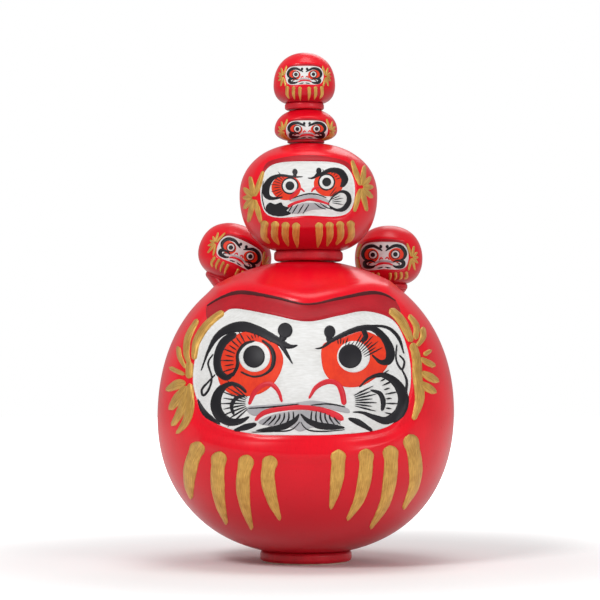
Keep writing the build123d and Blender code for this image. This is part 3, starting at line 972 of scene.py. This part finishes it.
    def layers(self) -> list[Layer]:
        """Every colour of the doll, from the ground up."""
        t = max(0.5, self.across / REFERENCE_FACE)
        eyes = self.spots(*self.EYES)
        ball = self.BALL * self.across
        wide, tall = self.ORANGE
        # Painted shade: a darker band over the face, where the hood's shadow falls.
        shadow = self.spots((-0.92, 0.55), (-0.8, 1.0), (0, 1.22), (0.8, 1.0), (0.92, 0.55),
                            (0.6, 0.8), (0, 0.86), (-0.6, 0.8))
        # The orange reaches further out than in, and hangs a little below its eye.
        out = {True: 0.04 * self.across, False: -0.08 * self.across}
        rings = [disc(x + out[x > self.x], z - 0.06 * self.up, wide * self.across,
                      tall * self.up) for x, z in eyes]
        return [
            Layer("brow_shadow", PAINTED_SHADE_LACQUER, PaintTool.FILL, [edge(shadow)], 0.12 * t),
            Layer("face_white", SHELL_WHITE, PaintTool.FILL, [edge(self.outline())], 0.22 * t),
            Layer("orange_patches", ORANGE_PIGMENT, PaintTool.FILL, rings, 0.34 * t),
            Layer("eye_whites", SHELL_WHITE, PaintTool.FILL,
                  [disc(x, z, ball, 0.95 * ball) for x, z in eyes], 0.5 * t),
            Layer("grey_lip", GREY_PIGMENT, PaintTool.FILL, self.grey(), 0.34 * t),
            Layer("ink", SUMI_INK, PaintTool.BRUSH, self.ink(), 0.75 * t),
            Layer("pupils", SUMI_INK, PaintTool.FILL,
                  [disc(x, z, 0.6 * ball, 0.6 * ball) for x, z in eyes] + self.patches(),
                  0.7 * t),
            Layer("scarlet", RED_PIGMENT, PaintTool.BRUSH, self.scarlet(), 0.85 * t),
            Layer("gilding", BRASS_PAINT, PaintTool.BRUSH, self.gold(), 0.95 * t),
        ]

    def gold(self) -> list[Stroke]:
        """Ribs below the face and a plume on each side of it."""
        lines = []
        foot = (self.rib_foot - self.z) / self.up
        first, step = 0.24, 0.66 / max(self.ribs - 1, 1)
        half = self.RIB * self.across / max(self.ribs, 3)
        out, thin, thick = 1.13, 0.035, 0.062   # a plume's hub, and its strokes' half widths
        for side in (-1.0, 1.0):
            for i in range(self.ribs):
                u = first + step * i
                spine = self.at((u, -1.16 + 0.1 * u, 0), (u * 1.02, (foot - 1.16) / 2, 0),
                                (0.88 * u, foot * (1 - 0.1 * u), 0), side=side)
                lines.append(rib(tuple(p[:2] for p in spine), half))
            for turn, reach in self.PLUME:
                c, s = math.cos(math.radians(turn)), math.sin(math.radians(turn))
                lift = 1.1 * reach * s * self.across / self.up
                hub = self.HUBS[side]
                lines.append(self.at((out + 0.04 * c, 0.06 * s + hub, thin),
                                     (out + 0.5 * reach * c, 0.5 * lift + hub, thick),
                                     (out + 0.95 * reach * c, lift + hub, thin), side=side))
        return lines


@dataclass(frozen=True)
class MediumPainting(SmallPainting):
    """The second doll's painting: its left and right cheeks are drawn differently."""

    EYES = ((-0.37, 0.14), (0.4, 0.27))
    ORANGE = (0.31, 0.44)
    HUBS = {-1.0: -0.28, 1.0: 0.1}
    RIB = 0.34

    def ink(self) -> list[Stroke]:
        """Brows, lashes, eye rims, whiskers and beard hairs."""
        lines = [self.at(*line) for line in (
            ((-0.1, 0.46, 0.008), (-0.22, 0.45, 0.022), (-0.38, 0.47, 0.028),
             (-0.58, 0.5, 0.035), (-0.76, 0.38, 0.06), (-0.87, 0.1, 0.085),
             (-0.86, -0.18, 0.075), (-0.74, -0.3, 0.04), (-0.52, -0.25, 0.015)),
            ((-0.26, 0.56, 0.045), (-0.27, 0.5, 0.04), (-0.33, 0.42, 0.02)),
            ((0.0, 0.41, 0.008), (0.1, 0.41, 0.025), (0.25, 0.52, 0.035), (0.48, 0.68, 0.055),
             (0.68, 0.62, 0.08), (0.78, 0.38, 0.085), (0.74, 0.18, 0.06), (0.68, 0.12, 0.02)),
            ((0.22, 0.6, 0.045), (0.21, 0.54, 0.04), (0.14, 0.46, 0.02)),
            ((-0.93, 0.3, 0.008), (-0.96, -0.2, 0.014), (-0.9, -0.66, 0.012),
             (-0.8, -0.85, 0.006)),
            ((0.42, -0.52, 0.01), (0.53, -0.24, 0.02), (0.7, -0.06, 0.03), (0.84, -0.14, 0.05),
             (0.87, -0.4, 0.06), (0.76, -0.66, 0.055), (0.6, -0.7, 0.03), (0.46, -0.6, 0.015)),
            ((-0.32, -0.3, 0.01), (-0.15, -0.2, 0.016), (0.02, -0.14, 0.018),
             (0.2, -0.16, 0.016), (0.4, -0.28, 0.01)))]
        lines += [self.at((u, -0.5, 0.008), (u - 0.07, -0.68, 0.016), (u - 0.13, -0.84, 0.006))
                  for u in (-0.3, -0.2, -0.08, 0.03)]
        lines += [self.at((u, -0.46, 0.008), (u + 0.12, -0.6, 0.016), (u + 0.25, -0.68, 0.006))
                  for u in (0.14, 0.26, 0.38)]
        size = self.across
        left_eye, cheek, right_eye = self.spots((-0.36, 0.12), (0.36, -0.42), (0.42, 0.26))
        hair = 0.011 * size
        lines += fan(left_eye, 130, 218, 0.2 * size, 0.42 * size, 9, hair)
        lines += fan(cheek, -8, 52, 0.16 * size, 0.4 * size, 7, hair)
        lines += fan(right_eye, 20, 110, 0.19 * size, 0.3 * size, 7, hair)
        return lines + self.rims(1.06)

    def patches(self) -> list[Stroke]:
        """The solid whisker on the left cheek and the round ends of the brows."""
        size = self.across
        knobs = [disc(x, z, 0.055 * size, 0.065 * size, 8)
                 for x, z in self.spots((-0.265, 0.62), (0.235, 0.66))]
        whisker = self.spots((-0.8, -0.45), (-0.88, -0.64), (-0.78, -0.86), (-0.56, -0.92),
                             (-0.35, -0.83), (-0.44, -0.72), (-0.38, -0.62), (-0.5, -0.56),
                             (-0.56, -0.44), (-0.68, -0.5))
        return knobs + [edge(whisker)]

    def scarlet(self) -> list[Stroke]:
        """Nostrils and a mouth that turns down further on the left."""
        return [self.at(*line) for line in (
            ((-0.42, -0.6, 0.035), (-0.27, -0.46, 0.035), (0.02, -0.34, 0.028),
             (0.22, -0.38, 0.035), (0.46, -0.5, 0.02)),
            ((-0.38, -0.36, 0.025), (-0.28, -0.12, 0.035), (-0.16, 0.04, 0.03),
             (-0.06, -0.08, 0.015)),
            ((0.08, -0.08, 0.015), (0.13, 0.04, 0.03), (0.26, 0.1, 0.025)))]

    def grey(self) -> list[Stroke]:
        """Upper lip, and the grey that shades the chin."""
        lip = self.spots((-0.38, -0.38), (-0.2, -0.26), (0, -0.18), (0.2, -0.2), (0.44, -0.36),
                         (0.42, -0.46), (0.2, -0.34), (0, -0.3), (-0.2, -0.4))
        chin = self.spots((-0.34, -0.62), (-0.1, -0.46), (0.16, -0.46), (0.4, -0.54),
                          (0.36, -0.66), (0.1, -0.7), (-0.16, -0.82), (-0.36, -0.8))
        return [edge(lip), edge(chin)]


# ---- dolls --------------------------------------------------------------------------------
@dataclass
class Daruma:
    """One doll: its shells and its painting, which take the place of its CAD shells."""

    name: str
    painting: LargePainting | SmallPainting
    lean: float = 0.0      # towards +X, in degrees
    turn: float = 0.0      # about its own axis, in degrees
    peg: str = ""          # the peg that stands in its crown
    side_pegs: tuple[str, ...] = ()   # slanted pegs that go through its back half
    rows: int = 120
    columns: int = 130
    wall_share: float = 0.042         # thickness of the paper over the radius
    paint_step: float = 0.35          # length of the pieces that paint is divided into, in mm
    seed: int = 1
    place: Matrix = field(init=False)
    radius: float = field(init=False)
    widest: float = field(init=False)
    height: float = field(init=False)
    foot_radius: float = field(init=False)
    foot_height: float = field(init=False)
    hole_radius: float = field(init=False)
    hole_x: float = field(init=False)

    INNER_STEP = 5          # the inside is this much coarser than the outside
    WIDEST_RING = 0.9995    # points this far out count as the widest ring
    CURVE_POINTS = 400      # points that each curve of the half section is worked out at
    CROWN_SHIFT = 0.3       # distance over which the crown bends towards an off-centre peg
    SWELL = 0.003           # height of the hand-made unevenness over the radius
    WAVES = (3.1, 4.8, 6.5, 8.2)   # its waves, in radians over one radius, the slow ones higher
    STILL_FOOT = 0.25       # share of the height over which it dies out at the foot
    STILL_CROWN = 0.12      # and at the crown
    THINNEST = 0.5          # what a sunk feature leaves of the wall
    HOLE_SIDES = 40         # sides of a bored hole
    SILHOUETTE_POINTS = 200
    PAINTED_SHARE = 0.975   # part of the silhouette that can be painted on
    RAGGED_MM = 0.5         # how far the edges of brush strokes wander on a doll of full size
    FULL_SIZE = 0.05        # radius from which they wander that far
    SHARP_EDGE = math.radians(50)

    def __post_init__(self) -> None:
        """Read the doll's sizes and place from its CAD nodes."""
        turned = (Matrix.Rotation(math.radians(self.lean), 3, "Y")
                  @ Matrix.Rotation(math.radians(self.turn), 3, "Z"))
        foot = self.points(f"{self.name}_weight", turned)
        low = foot[:, 2].min()
        if f"{self.name}_base_paper" in frame["nodes"]:
            low = self.points(f"{self.name}_base_paper", turned)[:, 2].min()
        middle = (foot.min(axis=0) + foot.max(axis=0)) / 2
        origin = turned @ Vector((middle[0], middle[1], low))
        self.place = Matrix.Translation(origin) @ turned.to_4x4()
        shell = self.points(f"{self.name}_shell_back", turned) - (middle[0], middle[1], low)
        reach = np.hypot(shell[:, 0], shell[:, 1])
        self.radius = reach.max()
        self.widest = shell[reach > self.WIDEST_RING * self.radius, 2].mean()
        self.height = shell[:, 2].max()
        self.foot_height = shell[:, 2].min()
        self.foot_radius = (foot[:, 0].max() - foot[:, 0].min()) / 2
        self.hole_radius, self.hole_x = 0.0, 0.0
        if self.peg:
            peg_low, peg_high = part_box(self.peg)
            self.hole_radius = (peg_high[0] - peg_low[0]) / 2 + PEG_CLEARANCE
            self.hole_x = (peg_high[0] + peg_low[0]) / 2 - origin.x

    @property
    def eye(self) -> Vector:
        """Point that this doll's drawing is thrown from, in the doll's own space."""
        return self.place.inverted() @ EYE

    @staticmethod
    def points(node: str, turned: Matrix) -> np.ndarray:
        """Vertices of a CAD node, turned upright.

        Args:
            node: the node's name.
            turned: the doll's turn.

        Returns:
            One row for each vertex.
        """
        mesh = frame["nodes"][node].data
        flat = np.empty(3 * len(mesh.vertices), dtype=np.float32)
        mesh.vertices.foreach_get("co", flat)
        return flat.reshape(-1, 3).astype(float) @ np.array(turned)

    def profile(self, inset: float, count: int) -> np.ndarray:
        """Half section of the body, evenly divided from the weight's plug to the crown.

        Args:
            inset: how far inside the outer surface.
            count: number of points.

        Returns:
            Radius and height of each point.
        """
        wide, bottom = self.radius - inset, self.foot_height + inset
        top = self.height - inset
        below, above = self.widest - bottom, top - self.widest
        neck = self.foot_radius * NECK_SHARE
        belly = ((neck, bottom), (neck + HEM_OUT * (wide - neck), bottom + HEM_UP * below),
                 (wide, self.widest - BELLY_FULLNESS * below), (wide, self.widest))
        dome = ((wide, self.widest), (wide, self.widest + CROWN_FULLNESS * above),
                (CROWN_FULLNESS * wide, top), (0.0, top))
        t = np.linspace(0, 1, self.CURVE_POINTS)[:, None]
        arcs = [np.array([[self.foot_radius * PLUG_SHARE, bottom], [neck, bottom]])]
        for a, b, c, d in (map(np.array, belly), map(np.array, dome)):
            arcs.append((1 - t) ** 3 * a + 3 * (1 - t) ** 2 * t * b + 3 * (1 - t) * t ** 2 * c
                        + t ** 3 * d)
        line = np.vstack(arcs)
        if self.hole_radius:
            line = line[(line[:, 0] >= self.hole_radius) | (line[:, 1] < self.widest)]
        return evenly(line, count)

    def surface(self, front: bool, inset: float, rows: int, columns: int) -> np.ndarray:
        """Grid of points over one half of the body.

        Args:
            front: the half with the face, or the back.
            inset: how far inside the outer surface.
            rows: points from the weight to the crown.
            columns: points from seam to seam.

        Returns:
            Points indexed by row, column and axis.
        """
        line = self.profile(inset, rows)
        start = -math.pi / 2 if front else math.pi / 2
        turn = start + np.linspace(0, math.pi, columns)
        slope = np.gradient(line, axis=0)
        normal = np.column_stack([slope[:, 1], -slope[:, 0]])
        normal /= np.linalg.norm(normal, axis=1)[:, None]
        r, z = line[:, :1], np.repeat(line[:, 1:], columns, axis=1)
        shift = np.zeros_like(r)
        if self.hole_radius:
            near = smooth(1 - (r - self.hole_radius) / (self.CROWN_SHIFT * self.radius))
            shift = self.hole_x * near * (line[:, 1:] > self.widest)
        x, y = r * np.sin(turn) + shift, -r * np.cos(turn)
        out = self.unevenness(x, y, z)
        if front:
            eye = self.eye
            thrown = eye.y / (eye.y - y)
            out = out + MM * self.painting.relief().rise(
                (eye.x + (x - eye.x) * thrown) / MM, (eye.z + (z - eye.z) * thrown) / MM)
        grid = np.stack([x, y, z], axis=2)
        face = np.stack([normal[:, :1] * np.sin(turn), -normal[:, :1] * np.cos(turn),
                         np.repeat(normal[:, 1:], columns, axis=1)], axis=2)
        return grid + face * out[:, :, None]

    def unevenness(self, x: np.ndarray, y: np.ndarray, z: np.ndarray) -> np.ndarray:
        """Slow swell of hand-moulded paper, still at the foot and at the crown.

        Args:
            x: positions across.
            y: positions front to back.
            z: heights.

        Returns:
            How far each point stands out.
        """
        waves = np.zeros_like(z)
        for i, wave in enumerate(self.WAVES):
            count = wave / self.radius
            way, phase = 1.3 * self.seed + 2.1 * i, 0.7 * self.seed + 1.9 * i   # spread about
            round_it = np.sin(count * (x * math.cos(way) + y * math.sin(way)) + phase)
            up_it = np.cos(0.8 * count * z + 1.7 * phase)
            waves += round_it * up_it / (1 + i)
        still = (smooth((z - self.foot_height) / (self.STILL_FOOT * self.height))
                 * smooth((self.height - z) / (self.STILL_CROWN * self.height)))
        return self.SWELL * self.radius * waves * still

    def half_shell(self, front: bool) -> bpy.types.Object:
        """Model one half of the shell as a closed wall.

        Args:
            front: the half with the face, or the back.

        Returns:
            The half, upright at the origin.
        """
        step, wall = self.INNER_STEP, self.wall_share * self.radius
        columns = self.columns if front else self.columns // 2 // step * step + 1
        rows = self.rows // step * step + 1
        columns = (columns - 1) // step * step + 1
        outer = self.surface(front, 0.0, rows, columns)
        few_rows, few_columns = (rows - 1) // step + 1, (columns - 1) // step + 1
        inner = self.surface(front, wall, few_rows, few_columns)
        if front:
            deep = np.maximum(inner[:, :, 1], outer[::step, ::step, 1] + self.THINNEST * wall)
            inner[:, :, 1] = np.minimum(deep, 0.0)
        points = np.vstack([outer.reshape(-1, 3), inner.reshape(-1, 3)])
        index = np.arange(rows * columns).reshape(rows, columns)
        inside = rows * columns + np.arange(few_rows * few_columns).reshape(few_rows, few_columns)
        faces = [(index[i, j], index[i, j + 1], index[i + 1, j + 1], index[i + 1, j])
                 for i in range(rows - 1) for j in range(columns - 1)]
        faces += [(inside[i, j], inside[i + 1, j], inside[i + 1, j + 1], inside[i, j + 1])
                  for i in range(few_rows - 1) for j in range(few_columns - 1)]
        borders = ((index[:, 0][::-1], inside[:, 0][::-1]), (index[:, -1], inside[:, -1]),
                   (index[0], inside[0]), (index[-1][::-1], inside[-1][::-1]))
        for long, short in borders:
            for k in range(len(short) - 1):
                run = list(long[k * step:(k + 1) * step + 1])
                faces.append((*run[::-1], short[k], short[k + 1]))
        name = f"{self.name}_{'front' if front else 'back'}_shell"
        mesh = bpy.data.meshes.new(name)
        mesh.from_pydata(points.tolist(), [], [tuple(map(int, f)) for f in faces])
        work = bmesh.new()
        work.from_mesh(mesh)
        bmesh.ops.remove_doubles(work, verts=work.verts, dist=2 * SAME_POINT)
        bmesh.ops.triangulate(work, faces=[face for face in work.faces if len(face.verts) > 4])
        bmesh.ops.recalc_face_normals(work, faces=work.faces)
        work.to_mesh(mesh)
        work.free()
        mesh.shade_smooth()
        mesh.set_sharp_from_angle(angle=self.SHARP_EDGE)
        piece = add_object(name, mesh)
        if not front:
            for peg in self.side_pegs:
                self.bore(piece, peg)
        return piece

    def bore(self, shell: bpy.types.Object, peg: str) -> None:
        """Cut the hole that a slanted peg goes through.

        Args:
            shell: the upright shell.
            peg: the peg's CAD node.
        """
        points = self.points(peg, Matrix.Identity(3)) - self.place.translation
        middle = (points.min(axis=0) + points.max(axis=0)) / 2
        axis = np.linalg.svd(points - middle, full_matrices=False)[2][0]
        along = (points - middle) @ axis
        radius = np.linalg.norm(points - middle - along[:, None] * axis, axis=1).max()
        radius += PEG_CLEARANCE
        aim = Vector(axis).to_track_quat("Z", "Y").to_matrix().to_4x4()
        tool = bmesh.new()
        bmesh.ops.create_cone(tool, cap_ends=True, segments=self.HOLE_SIDES, radius1=radius,
                              radius2=radius, depth=along.max() - along.min(),
                              matrix=Matrix.Translation(Vector(middle)) @ aim)
        mesh = bpy.data.meshes.new("drill")
        tool.to_mesh(mesh)
        tool.free()
        drill = add_object("drill", mesh)
        cut = shell.modifiers.new("peg_hole", "BOOLEAN")
        cut.operation, cut.solver, cut.object = "DIFFERENCE", "EXACT", drill
        bored = plain_mesh(shell)
        shell.modifiers.clear()
        bored.name = shell.data.name
        shell.data = bored
        bpy.data.objects.remove(drill)

    def fitted(self, line: Stroke) -> Stroke:
        """Keep a drawn line inside the silhouette, where there is shell to paint on."""
        heights = self.profile(0.0, self.SILHOUETTE_POINTS) / MM
        kept = []
        for x, z, half in line:
            nearest = heights[np.abs(heights[:, 1] - z).argmin(), 0]
            limit = self.PAINTED_SHARE * nearest - half
            kept.append((max(-limit, min(limit, x)), z, half))
        return tuple(kept)

    def build(self, body: str, trees: dict[PaintTool, PaintTree],
              materials: dict[str, bpy.types.Material]) -> None:
        """Make, paint, place and attach the whole doll.

        Args:
            body: the CAD body that it rides on.
            trees: the paint-laying trees.
            materials: the finishes, by name.
        """
        # The lacquer's painted shade runs from the doll's foot up to half its height.
        lacquer = replace(RED_LACQUER, name=f"{RED_LACQUER.name}_{self.name}",
                          painted_shade_from=self.place.translation.z + self.foot_height,
                          painted_shade_to=self.place.translation.z + 0.5 * self.height).build()
        shells = {side: self.half_shell(side == "front") for side in ("front", "back")}
        for shell in shells.values():
            shell.data.materials.append(lacquer)
        pieces = []
        wander = self.RAGGED_MM * min(1, self.radius / self.FULL_SIZE)
        for number, layer in enumerate(self.painting.layers()):
            lines = [self.fitted(line) for line in layer.lines]
            ragged = 0.0 if layer.tool is PaintTool.FILL else wander
            pieces.append(trees[layer.tool].paint(
                f"{self.name}_{layer.name}", lines, shells["front"], self.eye,
                materials[layer.finish.name], layer.thickness, self.paint_step, ragged,
                10 * self.seed + number))
        for piece in (*shells.values(), *pieces):
            piece.data.transform(self.place)
            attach(piece, body)
            LOG.info("%s: %d triangles", piece.name,
                     sum(len(p.vertices) - 2 for p in piece.data.polygons))
        for side, shell in shells.items():
            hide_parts(f"{self.name}_shell_{side}")


def dress_cad_nodes(materials: dict[str, bpy.types.Material]) -> None:
    """Give every CAD node that still shows the finish of what it is made of.

    Args:
        materials: the finishes, by name.
    """
    finish_of = {"painted_clay": RED_CLAY, "turned_wood": BEECH, "plain_paper": MULBERRY_PAPER,
                 "lacquered_paper": RED_CLAY}
    for part in frame["record"]["subparts"]:
        node = frame["nodes"][part["node"]]
        finish = finish_of[part["material_slot"]]
        node.data.materials.clear()
        node.data.materials.append(materials[finish.name])
        LOG.info("%s: %s", part["node"], finish.name)


# ---- stage --------------------------------------------------------------------------------
@dataclass(frozen=True)
class Studio:
    """Pale round stage, soft lights and the camera, in metres."""

    radius: float = 3.0
    rim_points: int = 96
    room_light: float = 0.42          # brightness of the pale room, which itself looks white
    glow_from: float = 0.14           # the floor turns from lit paper to pure white
    glow_to: float = 0.5              # between these distances from the stack
    floor_roughness: float = 0.9
    target: tuple[float, float, float] = (-0.0035, 0.0, 0.1545)   # what camera and lights face
    view_height: float = 0.3552       # height that the camera sees at the stack
    sensor_width: float = 36.0        # in mm
    sight: float = 20.0               # how far the camera sees

    def build(self) -> None:
        """Build floor, lights, world and camera."""
        self.floor()
        for name, place, size, power in (
            ("key_softbox", (-0.75, -1.15, 1.2), 0.4, 11.2),
            ("fill_softbox", (1.1, -1.2, 0.6), 0.5, 5.4),
            ("top_softbox", (0.1, -0.1, 1.5), 0.7, 6.0),
            ("back_softbox", (0.3, 1.3, 1.2), 0.7, 3.0),
        ):
            self.light(name, Vector(place), size, power)
        world = bpy.data.worlds.new("pale_room")
        world.use_nodes = True
        tree = world.node_tree
        tree.nodes.clear()
        seen = add_node(tree, "ShaderNodeLightPath").outputs["Is Camera Ray"]
        strength = add_node(tree, "ShaderNodeMapRange",
                            {"Value": seen, "To Min": self.room_light, "To Max": 1.0})
        backdrop = add_node(tree, "ShaderNodeBackground",
                            {"Color": (1.0, 1.0, 1.0, 1.0), "Strength": strength.outputs[0]})
        add_node(tree, "ShaderNodeOutputWorld", {"Surface": backdrop.outputs[0]})
        bpy.context.scene.world = world
        bpy.context.scene.view_settings.view_transform = "Standard"
        self.camera()

    def floor(self) -> None:
        """Lay a round white floor whose rim fades into the pale room."""
        count = self.rim_points
        mesh = bpy.data.meshes.new("studio_floor")
        turns = [2 * math.pi * j / count for j in range(count)]
        points = [(self.radius * math.cos(t), self.radius * math.sin(t), 0.0) for t in turns]
        mesh.from_pydata(points + [(0.0, 0.0, 0.0)], [],
                         [(count, j, (j + 1) % count) for j in range(count)])
        floor = add_object("studio_floor", mesh)
        paper = bpy.data.materials.new("seamless_white_paper")
        paper.use_nodes = True
        tree = paper.node_tree
        shader = tree.nodes["Principled BSDF"]
        shader.inputs["Base Color"].default_value = linear("#FAFAFA")
        shader.inputs["Roughness"].default_value = self.floor_roughness
        shader.inputs["Emission Color"].default_value = (1.0, 1.0, 1.0, 1.0)
        space = add_node(tree, "ShaderNodeTexCoord").outputs["Object"]
        out = add_node(tree, "ShaderNodeVectorMath", {0: space}, operation="LENGTH")
        fade = add_node(tree, "ShaderNodeMapRange",
                        {"Value": out.outputs["Value"], "From Min": self.glow_from,
                         "From Max": self.glow_to},
                        interpolation_type="SMOOTHSTEP")
        seen = add_node(tree, "ShaderNodeLightPath").outputs["Is Camera Ray"]
        glow = add_node(tree, "ShaderNodeMath", {0: fade.outputs[0], 1: seen},
                        operation="MULTIPLY")
        tree.links.new(glow.outputs[0], shader.inputs["Emission Strength"])
        mesh.materials.append(paper)

    def light(self, name: str, place: Vector, size: float, power: float) -> None:
        """Hang one square softbox that looks at the stack.

        Args:
            name: the light's name.
            place: where it hangs.
            size: its side.
            power: its power in watts.
        """
        lamp = bpy.data.lights.new(name, "AREA")
        lamp.size = size
        lamp.energy = power
        holder = add_object(name, lamp)
        holder.location = place
        holder.rotation_euler = (Vector(self.target) - place).to_track_quat("-Z", "Y").to_euler()

    def camera(self) -> None:
        """Set the camera at eye level with the biggest doll's face."""
        lens = bpy.data.cameras.new("camera")
        lens.sensor_width = self.sensor_width
        lens.lens = self.sensor_width * -EYE.y / self.view_height
        lens.clip_end = self.sight
        holder = add_object("camera", lens)
        holder.location = EYE
        holder.rotation_euler = (Vector(self.target) - EYE).to_track_quat("-Z", "Y").to_euler()
        bpy.context.scene.camera = holder


def main() -> None:
    """Build the stack, dress it and light it."""
    logging.basicConfig(level=logging.INFO, format="%(name)s %(message)s")
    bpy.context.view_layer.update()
    finishes = (PAINTED_SHADE_LACQUER, UMBER_FOLD_SHADE_LINE, SHELL_WHITE, BRASS_PAINT, SUMI_INK, ORANGE_PIGMENT,
                RED_PIGMENT, GREY_PIGMENT, RED_CLAY, BEECH, MULBERRY_PAPER)
    materials = {finish.name: finish.build() for finish in finishes}
    trees = {tool: PaintTree(tool) for tool in PaintTool}
    dress_cad_nodes(materials)
    dolls = (
        Daruma("large", LargePainting(), peg="medium_peg", side_pegs=("left_peg", "right_peg"),
               rows=215, columns=226, wall_share=0.041, paint_step=0.8, seed=1),
        Daruma("medium", MediumPainting(-0.5, 42.5, 28.1, 17.0, 4, 7.5), peg="third_peg",
               rows=150, columns=160, seed=2),
        Daruma("third", SmallPainting(0.6, 7.9, 12.4, 5.7, 0, 3.0), peg="top_peg", seed=3),
        Daruma("top", SmallPainting(0.1, 20.6, 11.3, 5.8, 3, 5.5), seed=4),
        Daruma("left", SmallPainting(2.2, 22.2, 14.6, 7.8, 4, 6.0), lean=25.0, turn=16.0,
               seed=5),
        Daruma("right", SmallPainting(-2.8, 20.4, 15.2, 8.8, 4, 5.0), turn=-12.0, seed=6),
    )
    for doll in dolls:
        doll.build(f"{doll.name}_doll", trees, materials)
    Studio().build()


if __name__ == "__main__":
    main()
